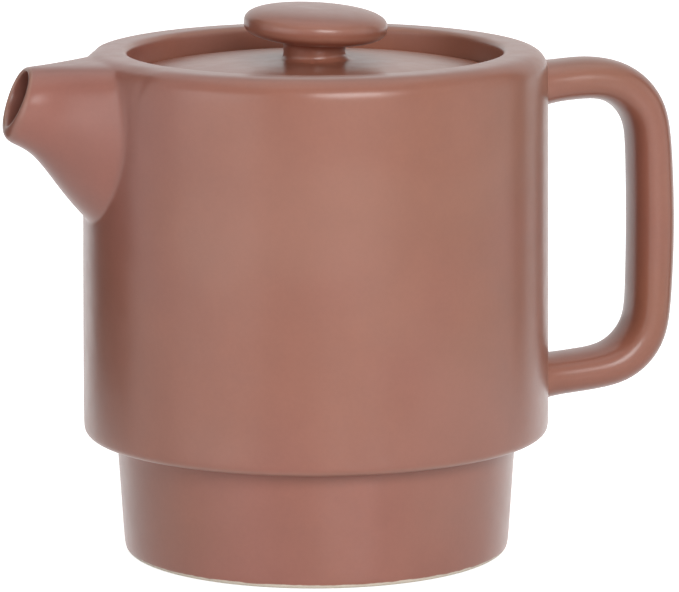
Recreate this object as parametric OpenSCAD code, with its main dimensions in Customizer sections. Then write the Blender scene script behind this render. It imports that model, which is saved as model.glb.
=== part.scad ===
// One-person stoneware teapot: a straight round pot on a narrower foot, with a funnel spout
// that leaves the rim level, a square loop handle and a sunken lid with a mushroom knob.
// The axis of the pot is Z, it stands on z = 0, the spout points to -X and the handle to +X.

/* [Body] */
// Outside diameter of the upper body at the rim
body_d = 104; // [86:1:126]
// Height of the rim above the table
rim_h = 113.6; // [94:0.1:138]
// How much the radius of the upper body grows from the rim down to the step
body_draft = 0.5; // [0:0.1:1.5]
// Thickness of the fired wall
wall = 4.5; // [3.5:0.5:5.5]
// Rounding where the upper body turns under to the step
step_edge_r = 1.9; // [1.5:0.1:4]

/* [Foot] */
// Height of the step above the table
foot_h = 27; // [20:0.1:32]
// How far the foot stands in from the rim
foot_inset = 6.9; // [6.5:0.1:9]
// How much the radius of the foot shrinks from the step to the table
foot_taper = 1.6; // [0:0.1:3]
// Rounding of the lower edge of the foot
foot_edge_r = 1.8; // [1.5:0.1:4]
// Hollow fillet between the foot and the step
step_fillet_r = 2; // [1:0.5:3]
// Width of the ring that stands on the table
foot_ring_w = 3.6; // [2.5:0.1:5]
// Depth of the base inside that ring
foot_ring_h = 1.6; // [1:0.1:2.5]
// Thickness of the floor
floor_t = 4.5; // [3.5:0.5:6]

/* [Rim and lid seat] */
// Width of the rim, from the outside of the body to the opening
rim_w = 10.1; // [8.5:0.1:12]
// Rounding of the outer edge of the rim
rim_edge_r = 4.3; // [2.5:0.1:5.5]
// Rounding of the inner edge of the rim
opening_edge_r = 1.2; // [0.6:0.1:2]
// Depth of the lid seat below the rim
seat_depth = 9; // [7:0.5:11]
// Width of the seat that carries the lid
seat_w = 5.9; // [4:0.1:8]
// Thickness of the seat at its inner edge
seat_t = 3.6; // [3:0.2:5]

/* [Lid] */
// Gap all round between the lid and the opening
lid_gap = 0.6; // [0.3:0.1:1.2]
// Thickness of the lid plate
lid_t = 4; // [3:0.5:6]
// Rounding of the upper edge of the lid
lid_edge_r = 1.2; // [0.5:0.1:2]
// Gap all round between the collar of the lid and the throat
collar_gap = 0.8; // [0.4:0.1:1.5]
// Depth of the collar below the lid plate
collar_h = 9; // [5:1:14]
// Wall of the collar
collar_t = 3.4; // [2.5:0.1:5]

/* [Knob] */
// Diameter of the knob head
knob_d = 32.2; // [26:0.2:40]
// Height of the widest place of the knob above the lid plate
knob_waist_h = 11; // [9:0.5:14]
// Height of the dome above the widest place
knob_crown = 3.8; // [2.5:0.1:6]
// Depth of the underside below the widest place
knob_belly = 4.4; // [3:0.1:5.5]
// Fullness of the knob edge, 2 for a plain ellipse
knob_fullness = 2.4; // [2:0.1:3]
// Diameter of the knob stem
stem_d = 13.8; // [10:0.2:18]
// Hollow fillet at the foot of the stem
stem_fillet_r = 3; // [1.5:0.5:4]
// Hollow fillet at the top of the stem
stem_neck_r = 1.6; // [0.8:0.1:2.5]
// Lean of the hand-set knob towards the handle, in degrees
knob_lean = 2.8; // [0:0.1:4]
// Offset of the hand-set knob towards the spout
knob_offset = 0.5; // [0:0.1:2]

/* [Spout] */
// Distance of the middle of the mouth from the wall of the pot
spout_reach = 17; // [13:0.2:30]
// Distance of the middle of the mouth below the rim
mouth_drop = 8.6; // [8:0.1:16]
// Outside radius of the mouth
mouth_r = 7.7; // [6:0.1:9]
// Upward tilt of the mouth, in degrees
mouth_tilt = 22; // [8:1:30]
// Distance of the widest place of the root below the rim
root_drop = 10.6; // [10:0.1:14]
// Half width of the root
root_r = 19; // [15:0.5:22]
// Depth of the root below its widest place
root_depth = 27; // [20:0.5:28]
// Upward tilt of the root, in degrees
root_tilt = 12; // [6:1:16]
// How far the funnel draws in behind the mouth
spout_waist = 1.7; // [0:0.1:2]
// Hollow fillet between the sides of the spout and the wall
spout_fillet_r = 4; // [1:0.5:6]
// How far the top of the spout lies below the rim
spout_top_drop = 0.1; // [0.1:0.1:1]
// Thickness of the spout wall at the mouth
lip_t = 1.9; // [1.2:0.1:2.5]
// Rounding of the outer edge of the mouth
lip_r = 1.5; // [0.4:0.1:2]
// Diameter of the strainer holes in the pot wall
strainer_hole_d = 6.5; // [5:0.5:6.5]
// Distance of the middle of the lowest strainer hole below the rim
strainer_drop = 23; // [22.5:0.5:25]
// Clay left between two strainer holes
strainer_web = 1.4; // [1.2:0.1:1.6]

/* [Handle] */
// Distance of the outside of the grip from the wall of the pot
handle_reach = 32.5; // [27:0.1:40]
// Distance from the rim down to the top of the handle
handle_top_drop = 4.6; // [3:0.1:12]
// Height of the underside of the handle above the table
handle_base_h = 33; // [29:0.1:38]
// Width of the strap
strap_w = 14; // [10:0.5:18]
// Thickness of the strap
strap_t = 8.8; // [7:0.2:11]
// Rounding of the strap edges
strap_r = 3.5; // [1.5:0.1:3.5]
// Radius of the middle line at the upper bend
upper_bend_r = 13.6; // [9:0.2:16]
// Radius of the middle line at the lower bend
lower_bend_r = 13.2; // [9:0.2:16]
// Extra thickness of the strap in its bends
bend_swell = 0.8; // [0:0.1:1.5]
// Extra thickness in the middle of the grip
grip_swell = 0.5; // [0:0.1:1.5]
// Outward bow of the grip
grip_bow = 0.6; // [0:0.1:1.5]
// Rise of each arm between the pot wall and its bend
arm_rise = 1.4; // [0:0.1:3]
// How far the strap swells where it joins the wall
handle_flare = 1.6; // [0:0.1:2.5]

/* [Hidden] */
$fn = 144;
glaze = [0.65, 0.46, 0.40];
arc_steps = 8;
overlap = 0.6;

body_r = body_d / 2;
step_r = body_r + body_draft;
foot_top_r = body_r - foot_inset;
foot_base_r = foot_top_r - foot_taper;
opening_r = body_r - rim_w;
throat_r = opening_r - seat_w;
seat_z = rim_h - seat_depth;
lid_top_z = seat_z + lid_t;
inner_r = body_r - wall;
inner_foot_r = foot_base_r - wall;
floor_z = foot_ring_h + floor_t;

inner_fillet_r = 4;
inner_step_r = 1.5;
shoulder_slope = 30;
throat_edge = 0.8;
collar_edge_r = 1;

spout_root_depth = 6;
spout_root_box = 4;
spout_box_end = 0.5;
spout_fillet_fade = 0.7;
lip_flat = 0.3;
lip_edge_r = min(lip_r, lip_t - lip_flat);
handle_flare_len = 6;

// Points of an arc about [x, z], from angle a to angle b
function arc(x, z, r, a, b, steps = arc_steps) =
    [for (i = [0 : steps]) let (t = a + (b - a) * i / steps) [x + r * cos(t), z + r * sin(t)]];

function mix(a, b, t) = a + (b - a) * t;

// A number raised to a power with its sign kept
function signed_pow(v, p) = sign(v) * pow(abs(v), p);

// A closed skin over rings that all have the same number of points,
// each ring turning right-handed about the way that the rings follow each other
module skin(rings) {
    count = len(rings[0]);
    last = len(rings) - 1;
    sides = [
        for (k = [0 : last - 1], i = [0 : count - 1])
            let (j = (i + 1) % count)
            [k * count + i, k * count + j, (k + 1) * count + j, (k + 1) * count + i]
    ];
    triangles = [for (q = sides, half = [0, 1]) half == 0 ? [q[0], q[2], q[1]] : [q[0], q[3], q[2]]];
    first_cap = [for (i = [0 : count - 1]) i];
    last_cap = [for (i = [count - 1 : -1 : 0]) last * count + i];
    polyhedron(points = [for (ring = rings, p = ring) p], faces = concat(triangles, [first_cap, last_cap]));
}

// Outside of the pot as a solid of revolution, with the recess for the lid
function pot_outline() =
    let (ring_r = foot_base_r - foot_edge_r - foot_ring_w)
    concat(
        [[0, foot_ring_h], [ring_r, foot_ring_h], [ring_r + foot_ring_h, 0]],
        arc(foot_base_r - foot_edge_r, foot_edge_r, foot_edge_r, -90, 0),
        arc(foot_top_r + step_fillet_r, foot_h - step_fillet_r, step_fillet_r, 180, 90),
        arc(step_r - step_edge_r, foot_h + step_edge_r, step_edge_r, -90, 0),
        arc(body_r - rim_edge_r, rim_h - rim_edge_r, rim_edge_r, 0, 90),
        arc(opening_r + opening_edge_r, rim_h - opening_edge_r, opening_edge_r, 90, 180),
        [[opening_r, seat_z], [0, seat_z]]
    );

// Inside of the pot: foot well, upper chamber, sloping shoulder and throat
function cavity_outline() =
    let (
        x = inner_r - inner_fillet_r,
        end = 90 - shoulder_slope,
        fall = (x + inner_fillet_r * cos(end) - throat_r) * tan(shoulder_slope),
        shoulder_z = seat_z - seat_t - fall - inner_fillet_r * sin(end)
    )
    concat(
        [[0, floor_z]],
        arc(inner_foot_r - inner_fillet_r, floor_z + inner_fillet_r, inner_fillet_r, -90, 0),
        arc(inner_foot_r + inner_step_r, foot_h + wall - inner_step_r, inner_step_r, 180, 90),
        arc(x, foot_h + wall + inner_fillet_r, inner_fillet_r, -90, 0),
        arc(x, shoulder_z, inner_fillet_r, 0, end),
        [[throat_r, seat_z - seat_t], [throat_r, seat_z - throat_edge]],
        [[throat_r + throat_edge, seat_z], [throat_r + throat_edge, seat_z + overlap]],
        [[0, seat_z + overlap]]
    );

// How far the hollow fillet stands out at a distance d from the wall
function fillet_out(d, r) = let (t = r - max(0, min(d, r))) r - sqrt(r * r - t * t);

// One ring of the spout, boxy above at the root and round at the mouth.
// s runs from 0 at the root to 1 at the mouth, inset draws the ring in for the channel
// and fillet is the radius of the blend into the wall at the sides, which fades out towards
// the top and is small below.
function spout_ring(s, inset, fillet, sides) =
    let (
        tilt = mix(root_tilt, mouth_tilt, s),
        boxy = mix(spout_root_box, 2, min(s / spout_box_end, 1)),
        waist = spout_waist * sin(180 * pow(s, 1.5)),
        half_w = mix(root_r, mouth_r, s) - waist - inset,
        low = mix(root_depth, mouth_r, s) - waist - inset,
        rise = mix(root_drop - spout_top_drop, mouth_r, s) - inset,
        x = -mix(body_r - spout_root_depth, body_r + spout_reach, s),
        z = rim_h - mix(root_drop, mouth_drop, s)
    )
    [
        for (i = [0 : sides - 1])
            let (
                a = 360 * i / sides,
                above = cos(a) > 0,
                power = above ? 2 / boxy : 1,
                up = (above ? rise : low) * signed_pow(cos(a), power),
                side = half_w * signed_pow(sin(a), power),
                from_wall = norm([x + up * sin(tilt), side]) - body_r,
                fade = above ? 1 - cos(a) : 1 + spout_fillet_fade * cos(a),
                out = fillet_out(from_wall, fillet) * fade,
                up_out = up + out * cos(a)
            )
            [x + up_out * sin(tilt), side + out * sin(a), z + up_out * cos(tilt)]
    ];

module spout_outside() {
    steps = 22;
    lip_steps = 4;
    lip_s = 1 - lip_edge_r / (spout_reach + spout_root_depth);
    skin(concat(
        [for (k = [0 : steps]) spout_ring(lip_s * k / steps, 0, spout_fillet_r, 48)],
        [
            for (k = [1 : lip_steps])
                let (a = 90 * k / lip_steps)
                spout_ring(mix(lip_s, 1, sin(a)), lip_edge_r * (1 - cos(a)), 0, 48)
        ]
    ));
}

module spout_channel() {
    steps = 10;
    past_mouth = 1.06;
    difference() {
        skin([
            for (k = [0 : steps])
                let (s = past_mouth * k / steps)
                spout_ring(s, mix(wall, lip_t, min(s, 1)), 0, 32)
        ]);
        cylinder(r = body_r, h = rim_h);
    }
}

// Three round holes through the pot wall, one below and two above it
module strainer() {
    pitch = strainer_hole_d + strainer_web;
    length = body_r - throat_r + overlap;
    for (row = [0, 1], k = [0 : row])
        translate([-body_r - overlap, pitch * (k - row / 2), rim_h - strainer_drop + row * pitch * sin(60)])
            rotate([0, 90, 0]) cylinder(d = strainer_hole_d, h = length);
}

// Outside of the upper body at height z
function wall_x(z) = mix(step_r, body_r, (z - foot_h) / (rim_h - foot_h));

// Middle line of the handle from the upper root to the lower root,
// each point given as [x, z, turn of the strap, extra thickness]
function handle_line() =
    let (
        bend_steps = 8,
        arm_steps = 6,
        top_z = rim_h - handle_top_drop - strap_t / 2,
        low_z = handle_base_h + strap_t / 2,
        root_x = body_r - wall / 2,
        grip_top = top_z - upper_bend_r,
        grip_low = low_z + lower_bend_r,
        to_grip = handle_reach - strap_t / 2 - grip_bow - grip_swell / 2,
        grip_top_x = wall_x(grip_top) + to_grip,
        grip_low_x = wall_x(grip_low) + to_grip,
        upper_x = grip_top_x - upper_bend_r,
        lower_x = grip_low_x - lower_bend_r
    )
    concat(
        [for (k = [0 : arm_steps - 1]) let (t = k / arm_steps)
            [mix(root_x, upper_x, t), top_z - arm_rise * (1 - t) * (1 - t), 90, 0]],
        [for (k = [0 : bend_steps]) let (t = k / bend_steps, a = 90 - 90 * t)
            [
                upper_x + upper_bend_r * cos(a),
                grip_top + upper_bend_r * sin(a),
                a,
                bend_swell * sin(180 * t)
            ]],
        [for (k = [1 : bend_steps - 1]) let (t = k / bend_steps, middle = sin(180 * t))
            [
                mix(grip_top_x, grip_low_x, t) + grip_bow * middle,
                mix(grip_top, grip_low, t),
                0,
                grip_swell * middle
            ]],
        [for (k = [0 : bend_steps]) let (t = k / bend_steps, a = -90 * t)
            [
                lower_x + lower_bend_r * cos(a),
                grip_low + lower_bend_r * sin(a),
                a,
                bend_swell * sin(180 * t)
            ]],
        [for (k = [arm_steps - 1 : -1 : 0]) let (t = k / arm_steps)
            [mix(root_x, lower_x, t), low_z - arm_rise * (1 - t), -90, 0]]
    );

// Section of the strap, a rectangle with round edges, across width w and thickness t
function strap_section(w, t) =
    let (r = strap_r, x = w / 2 - r, z = t / 2 - r, steps = 5)
    concat(
        arc(x, z, r, 0, 90, steps),
        arc(-x, z, r, 90, 180, steps),
        arc(-x, -z, r, 180, 270, steps),
        arc(x, -z, r, 270, 360, steps)
    );

module handle() {
    skin([
        for (p = handle_line())
            let (
                from_root = (p[0] - body_r + wall / 2) / handle_flare_len,
                flare = handle_flare * pow(max(1 - from_root, 0), 2),
                section = strap_section(strap_w + flare * 2, strap_t + p[3] + flare * 2)
            )
            [for (q = section) [p[0] + q[1] * cos(p[2]), q[0], p[1] + q[1] * sin(p[2])]]
    ]);
}

module pot() {
    color(glaze) difference() {
        union() {
            rotate_extrude() polygon(pot_outline());
            spout_outside();
            handle();
        }
        rotate_extrude() polygon(cavity_outline());
        spout_channel();
        strainer();
    }
}

// Lid plate with its collar, as one solid of revolution
function lid_outline() =
    let (
        r = opening_r - lid_gap,
        collar_r = throat_r - collar_gap,
        collar_in_r = collar_r - collar_t,
        low = seat_z - collar_h + collar_edge_r
    )
    concat(
        [[0, seat_z], [collar_in_r, seat_z]],
        arc(collar_in_r + collar_edge_r, low, collar_edge_r, 180, 270, 4),
        arc(collar_r - collar_edge_r, low, collar_edge_r, 270, 360, 4),
        [[collar_r, seat_z], [r - throat_edge, seat_z], [r, seat_z + throat_edge]],
        arc(r - lid_edge_r, lid_top_z - lid_edge_r, lid_edge_r, 0, 90),
        [[0, lid_top_z]]
    );

// Point of the knob head at angle a, where it is r wide and h high or deep
function knob_point(a, r, h) =
    let (power = 2 / knob_fullness)
    [r * pow(cos(a), power), knob_waist_h + h * signed_pow(sin(a), power)];

// Half section of the knob, with z = 0 on the lid plate
function knob_outline() =
    let (
        r = knob_d / 2,
        stem_r = stem_d / 2,
        neck_r = stem_r + stem_neck_r,
        belly_z = knob_waist_h - knob_belly * pow(1 - pow(neck_r / r, knob_fullness), 1 / knob_fullness),
        neck_end = 105,
        belly_start = -55
    )
    concat(
        [[0, -lid_t / 2], [stem_r + stem_fillet_r, -lid_t / 2]],
        arc(stem_r + stem_fillet_r, stem_fillet_r, stem_fillet_r, 270, 180),
        arc(neck_r, belly_z - stem_neck_r, stem_neck_r, 180, neck_end, 5),
        [for (a = [belly_start : 5 : 0]) knob_point(a, r, knob_belly)],
        [for (a = [6 : 6 : 90]) knob_point(a, r, knob_crown)]
    );

module lid() {
    color(glaze) {
        rotate_extrude() polygon(lid_outline());
        translate([-knob_offset, 0, lid_top_z]) rotate([0, knob_lean, 0])
            rotate_extrude() polygon(knob_outline());
    }
}

pot();
lid();
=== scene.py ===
# %% [markdown]
# # A small stoneware teapot, from the wheel to the photograph
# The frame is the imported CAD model: its two nodes, `pot` and `lid`, say where everything is, to the
# millimetre. It is loaded first and never moved. On the real pot the clay turns every corner in a soft
# round, and the spout and the handle grow out of the wall, which a CAD mesh of flat facets can't show.
# So both nodes are modelled again here as subdivision surfaces of the same sizes.

# %% Load the frame
import math

import bpy
import numpy as np
from mathutils import Matrix, Vector


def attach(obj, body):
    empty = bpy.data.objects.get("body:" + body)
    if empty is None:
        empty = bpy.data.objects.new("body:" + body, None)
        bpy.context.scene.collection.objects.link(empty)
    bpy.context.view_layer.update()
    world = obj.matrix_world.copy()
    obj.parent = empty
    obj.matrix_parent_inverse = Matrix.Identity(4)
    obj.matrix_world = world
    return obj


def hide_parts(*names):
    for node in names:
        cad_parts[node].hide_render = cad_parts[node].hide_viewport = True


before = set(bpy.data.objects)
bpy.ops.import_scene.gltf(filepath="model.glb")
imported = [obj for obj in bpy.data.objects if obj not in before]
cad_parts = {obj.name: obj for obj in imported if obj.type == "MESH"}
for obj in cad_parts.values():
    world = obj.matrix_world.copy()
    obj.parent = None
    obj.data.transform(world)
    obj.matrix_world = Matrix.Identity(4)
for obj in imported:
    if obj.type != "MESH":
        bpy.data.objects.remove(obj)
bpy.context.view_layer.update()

MM = 0.001

# %% [markdown]
# ## Sizes
# A potter works from a few sizes: how wide the rim is, where the step sits, how deep the lid lies.
# They are written once here, in millimetres, and both outlines below are drawn from them. `_R` is a
# radius from the axis and `_Z` a height above the table.

# %% Sizes of the pot and its lid
RIM_R, RIM_Z, RIM_EDGE = 52.0, 113.6, 4.3
STEP_R, STEP_Z, STEP_EDGE = 52.5, 27.0, 1.9
FOOT_TOP_R, FOOT_LOW_R, FOOT_EDGE = 45.1, 43.4, 1.8
FOOT_FILLET = 2.0
WALL = 4.5
OPENING_R, THROAT_R, SEAT_Z = 41.9, 36.0, 104.6
INNER_R, INNER_FOOT_R, FLOOR_Z = 47.5, 39.0, 6.1
SEAT_THICKNESS, SHOULDER_SLOPE = 3.6, math.radians(30)
BASE_Z, FOOT_RING_R = 1.6, 39.7
LID_R, LID_EDGE_Z, LID_TOP_Z = 41.3, 108.1, 111.2
COLLAR_R, COLLAR_IN_R, COLLAR_Z = 35.2, 31.8, 95.6
STEM_R, KNOB_R = 6.9, 16.1

COLUMNS = 64
WALL_ROWS = 16
COLUMN = math.tau / COLUMNS
WALL_LOW, WALL_TOP = STEP_Z + STEP_EDGE, RIM_Z - RIM_EDGE
ROW = (WALL_TOP - WALL_LOW) / WALL_ROWS
print("wall rows are", round(ROW, 2), "mm high and columns", round(COLUMN * RIM_R, 2), "mm wide")

# %% [markdown]
# ## Hand tools
# Everything below is done with the same few moves as at the screen: select something, run a tool on
# it, look at where it went. These helpers select by place, and read or set where vertices are, in
# millimetres. Everything is deselected before a primitive is added, because the frame's nodes come in
# selected, and a tool acts on all that is selected.

# %% Selecting and placing
def object_mode():
    if bpy.context.object and bpy.context.object.mode != "OBJECT":
        bpy.ops.object.mode_set(mode="OBJECT")


def start_fresh():
    """Leaves edit mode and deselects every object."""
    object_mode()
    bpy.ops.object.select_all(action="DESELECT")


def pick(obj):
    """Makes obj the only selected object."""
    start_fresh()
    bpy.context.view_layer.objects.active = obj
    obj.select_set(True)


def points(obj):
    """Every vertex of obj in millimetres."""
    object_mode()
    co = np.empty(len(obj.data.vertices) * 3)
    obj.data.vertices.foreach_get("co", co)
    return co.reshape(-1, 3) / MM


def put(obj, co):
    """Sets every vertex of obj, in millimetres."""
    obj.data.vertices.foreach_set("co", (co * MM).ravel())
    obj.data.update()


def chosen(obj):
    """True for each vertex that is selected."""
    object_mode()
    flags = np.empty(len(obj.data.vertices), bool)
    obj.data.vertices.foreach_get("select", flags)
    return flags


def choose(obj, marked, kind="vertices"):
    """Goes to edit mode with the marked vertices or polygons selected and nothing else."""
    object_mode()
    for part in ("vertices", "edges", "polygons"):
        items = getattr(obj.data, part)
        items.foreach_set("select", marked if part == kind else np.zeros(len(items), bool))
    bpy.context.tool_settings.mesh_select_mode = (kind == "vertices", False, kind == "polygons")
    bpy.ops.object.mode_set(mode="EDIT")


# %% [markdown]
# ## Drawing an outline and turning it
# A round pot is an outline turned about its axis, as on the wheel. The outline starts as a plane
# merged to one point, and is drawn by extruding that point from corner to corner. Each corner is then
# rounded with a vertex bevel. A cylinder could be extruded and scaled instead, but an outline keeps
# every corner editable, and one Spin gives all rows and columns at once.

# %% Outline and wheel
def draw_outline(name, corners):
    """Draws a line through corners, each (radius, height, rounding, segments), and rounds them."""
    start_fresh()
    bpy.ops.mesh.primitive_plane_add(size=MM, location=(corners[0][0] * MM, 0, corners[0][1] * MM))
    obj = bpy.context.object
    obj.name = obj.data.name = name
    bpy.ops.object.transform_apply(location=True, rotation=True, scale=True)
    bpy.ops.object.mode_set(mode="EDIT")
    bpy.ops.mesh.select_all(action="SELECT")
    bpy.ops.mesh.merge(type="CENTER")
    for a, b in zip(corners, corners[1:]):
        step = ((b[0] - a[0]) * MM, 0, (b[1] - a[1]) * MM)
        bpy.ops.mesh.extrude_vertices_move(TRANSFORM_OT_translate={"value": step})
    for before, here, after in zip(corners, corners[1:], corners[2:]):
        if here[2]:
            round_corner(obj, before, here, after)
    return obj


def round_corner(obj, before, here, after):
    """Rounds the corner at here with an arc of radius here[2], in here[3] segments."""
    back = Vector(before[:2]) - Vector(here[:2])
    on = Vector(after[:2]) - Vector(here[:2])
    reach = here[2] / math.tan(back.angle(on) / 2)
    away = np.linalg.norm(points(obj)[:, [0, 2]] - np.array(here[:2]), axis=1)
    choose(obj, away == away.min())
    bpy.ops.mesh.bevel(offset=reach * MM, segments=here[3], affect="VERTICES", clamp_overlap=False)


def cut_line(obj, a, b, cuts):
    """Cuts the straight stretch of outline between the points a and b into equal pieces."""
    co = points(obj)[:, [0, 2]]
    ends = [np.linalg.norm(co - np.array(p), axis=1) for p in (a, b)]
    marked = (ends[0] == ends[0].min()) | (ends[1] == ends[1].min())
    choose(obj, marked)
    bpy.ops.mesh.subdivide(number_cuts=cuts)


def weld(obj):
    """Merges doubled points, such as a seam or a pole, and turns all faces outwards."""
    bpy.ops.object.mode_set(mode="EDIT")
    bpy.ops.mesh.select_all(action="SELECT")
    bpy.ops.mesh.remove_doubles(threshold=MM / 50)
    bpy.ops.mesh.normals_make_consistent(inside=False)
    object_mode()
    print(obj.name, "has", len(obj.data.vertices), "points and", len(obj.data.polygons), "faces")


def turn(obj):
    """Spins the outline once round the axis."""
    object_mode()
    bpy.ops.object.mode_set(mode="EDIT")
    bpy.ops.mesh.select_all(action="SELECT")
    bpy.ops.mesh.spin(steps=COLUMNS, angle=math.tau, center=(0, 0, 0), axis=(0, 0, 1))
    weld(obj)


# %% [markdown]
# ## The body of the pot
# The outline runs from the middle of the base out over the foot ring, up the foot and the wall, over
# the rim, down to the seat of the lid and back through the inside. It is one closed skin, so the wall
# has its real thickness. The corners are rounded as a sponge leaves them: tight at the step, wide at
# the rim. The wall is cut into even rows, because the spout and the handle are pulled out of its faces
# later.

# %% Turn the body
THROAT_LOW_Z = SEAT_Z - SEAT_THICKNESS
SHOULDER_Z = THROAT_LOW_Z - (INNER_R - THROAT_R) * math.tan(SHOULDER_SLOPE)
INNER_STEP_Z, INNER_ROUND, OPENING_EDGE = STEP_Z + WALL, 4, 1.4
pot = draw_outline("teapot_body", [
    (0, BASE_Z, 0, 0),
    (FOOT_RING_R - BASE_Z, BASE_Z, 0.5, 2),
    (FOOT_RING_R, 0, 0.4, 1),
    (FOOT_LOW_R, 0, FOOT_EDGE, 3),
    (FOOT_TOP_R, STEP_Z, FOOT_FILLET, 3),
    (STEP_R, STEP_Z, STEP_EDGE, 3),
    (RIM_R, RIM_Z, RIM_EDGE, 4),
    (OPENING_R, RIM_Z, OPENING_EDGE, 3),
    (OPENING_R, SEAT_Z, 0.7, 2),
    (THROAT_R, SEAT_Z, 0.9, 2),
    (THROAT_R, THROAT_LOW_Z, 0.8, 1),
    (INNER_R, SHOULDER_Z, INNER_ROUND, 2),
    (INNER_R, INNER_STEP_Z, INNER_ROUND, 2),
    (INNER_FOOT_R, INNER_STEP_Z, 1.5, 2),
    (INNER_FOOT_R, FLOOR_Z, INNER_ROUND, 2),
    (0, FLOOR_Z, 0, 0),
])
cut_line(pot, (STEP_R, WALL_LOW), (RIM_R, WALL_TOP), WALL_ROWS - 1)
cut_line(pot, (RIM_R - RIM_EDGE, RIM_Z), (OPENING_R + OPENING_EDGE, RIM_Z), 1)
cut_line(pot, (FOOT_LOW_R, FOOT_EDGE), (FOOT_TOP_R, STEP_Z - FOOT_FILLET), 2)
cut_line(pot, (INNER_R, SHOULDER_Z - INNER_ROUND), (INNER_R, INNER_STEP_Z + INNER_ROUND), 2)
turn(pot)

# %% [markdown]
# ## Windows in the wall
# Spout and handle are clay pulled out of the wall. In mesh terms, a window of faces is taken out, and
# the loop of edges round it is extruded again and again, ring by ring. Every vertex of that loop keeps
# a number in an attribute, which an extrusion copies, so each new ring can be laid where it belongs. A
# boolean union would be quicker, but it leaves a hard seam where the real glaze runs in a soft hollow.

# %% Open a window and pull rings out of it
def open_window(obj, inside, start):
    """Deletes the faces whose centres are inside, and numbers the loop round them from start."""
    object_mode()
    mesh = obj.data
    centres = np.array([p.center for p in mesh.polygons]) / MM
    marked = inside(centres)
    seen = {}
    for polygon in np.flatnonzero(marked):
        for key in mesh.polygons[polygon].edge_keys:
            seen[key] = seen.get(key, 0) + 1
    near = {}
    for a, b in (key for key, times in seen.items() if times == 1):
        near.setdefault(a, []).append(b)
        near.setdefault(b, []).append(a)
    co = points(obj)
    first = min(near, key=lambda v: np.linalg.norm(co[v] - start))
    loop = [first, max(near[first], key=lambda v: co[v][1])]
    while len(loop) < len(near):
        loop.append(next(v for v in near[loop[-1]] if v != loop[-2]))
    numbers = mesh.attributes.get("place") or mesh.attributes.new("place", "INT", "POINT")
    values = np.full(len(co), -1, np.int32)
    values[loop] = np.arange(len(loop))
    numbers.data.foreach_set("value", values)
    choose(obj, marked, "polygons")
    bpy.ops.mesh.delete(type="FACE")
    select_loop(obj)
    return co[loop]


def loop_numbers(obj):
    object_mode()
    values = np.empty(len(obj.data.vertices), np.int32)
    obj.data.attributes["place"].data.foreach_get("value", values)
    return values


def select_loop(obj):
    choose(obj, loop_numbers(obj) >= 0)


def pull(obj, ring):
    """Extrudes the selected loop and lays the new ring on the given points."""
    bpy.ops.object.mode_set(mode="EDIT")
    bpy.ops.mesh.extrude_edges_move(TRANSFORM_OT_translate={"value": (0, 0, 0)})
    marked = chosen(obj)
    co = points(obj)
    co[marked] = ring[loop_numbers(obj)[marked]]
    put(obj, co)


# %% [markdown]
# ## Places on the outside of the body
# The root of the spout lies on the wall and over the round of the rim. To lay a loop there, a place on
# the body is given by the turn about the axis and by the length along the outline, counted from the
# table. The same two numbers also say where a fillet starts, a few millimetres beside the root.

# %% Outline length and back
ARC = RIM_EDGE * math.pi / 2


def wall_r(z):
    return STEP_R + (RIM_R - STEP_R) * (z - STEP_Z) / (RIM_Z - STEP_Z)


def body_r(z):
    """Radius of the outside of the body at a height up to the rim."""
    over = np.clip(z - WALL_TOP, 0, RIM_EDGE)
    return np.where(z > WALL_TOP, RIM_R - RIM_EDGE + np.sqrt(RIM_EDGE**2 - over**2), wall_r(z))


def length_at(z):
    over = np.clip((z - WALL_TOP) / RIM_EDGE, 0, 1)
    return np.where(z > WALL_TOP, WALL_TOP + RIM_EDGE * np.arcsin(over), z)


def on_body(angle, length):
    """Points on the body at a turn about the axis and a length along the outline."""
    arc = np.clip((length - WALL_TOP) / RIM_EDGE, 0, math.pi / 2)
    flat = np.clip(length - WALL_TOP - ARC, 0, None)
    z = np.where(length > WALL_TOP, WALL_TOP + RIM_EDGE * np.sin(arc), length)
    r = np.where(length > WALL_TOP, RIM_R - RIM_EDGE + RIM_EDGE * np.cos(arc) - flat, wall_r(length))
    return np.stack([r * np.cos(angle), r * np.sin(angle), z], axis=1)


def along_line(turned, length):
    """The direction of a closed line on the body at each of its points: across and up."""
    way = np.stack([(np.roll(turned, -1) - np.roll(turned, 1)) * RIM_R,
                    np.roll(length, -1) - np.roll(length, 1)], axis=1)
    return way / np.linalg.norm(way, axis=1)[:, None]


def mix(a, b, t):
    return a + (b - a) * t


# %% [markdown]
# ## The spout
# It is a funnel: wide, flat-topped and almost a triangle where it leaves the wall, round at the mouth,
# with its top level with the rim. `ROOT` and `MOUTH` are the two end sections: how far their middle
# lies below the rim, their half width, how far they reach down and up from the middle, how far they
# lean, and how boxy the upper half is (2 is an ellipse). Each rib of the funnel runs from the root to
# the mouth. The underside dips a little before the lip, and the lip is thin at the top and rolls over
# in a wide round below, where the last drop is caught.

# %% Ribs of the funnel
REACH, SINK = 16.8, 6.0     # the mouth lies outside the rim's radius, the root's section inside it
ROOT = {"drop": 10.6, "half": 19.0, "low": 27.0, "rise": 10.5, "tilt": 12.0, "box": 5.0}
MOUTH = {"drop": 8.6, "half": 7.7, "low": 10.1, "rise": 7.7, "tilt": 22.0, "box": 2.2}
WAIST, DIP = 1.7, 1.9       # how far the sides and the underside are drawn in on the way
LIP, LOW_LIP = 0.7, 3.6     # radius of the rounded lip at the top and at the bottom
ROUND_AT, ROUNDING = 0.92, 1.5  # the share of the length where the box has become round, and how late


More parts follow.
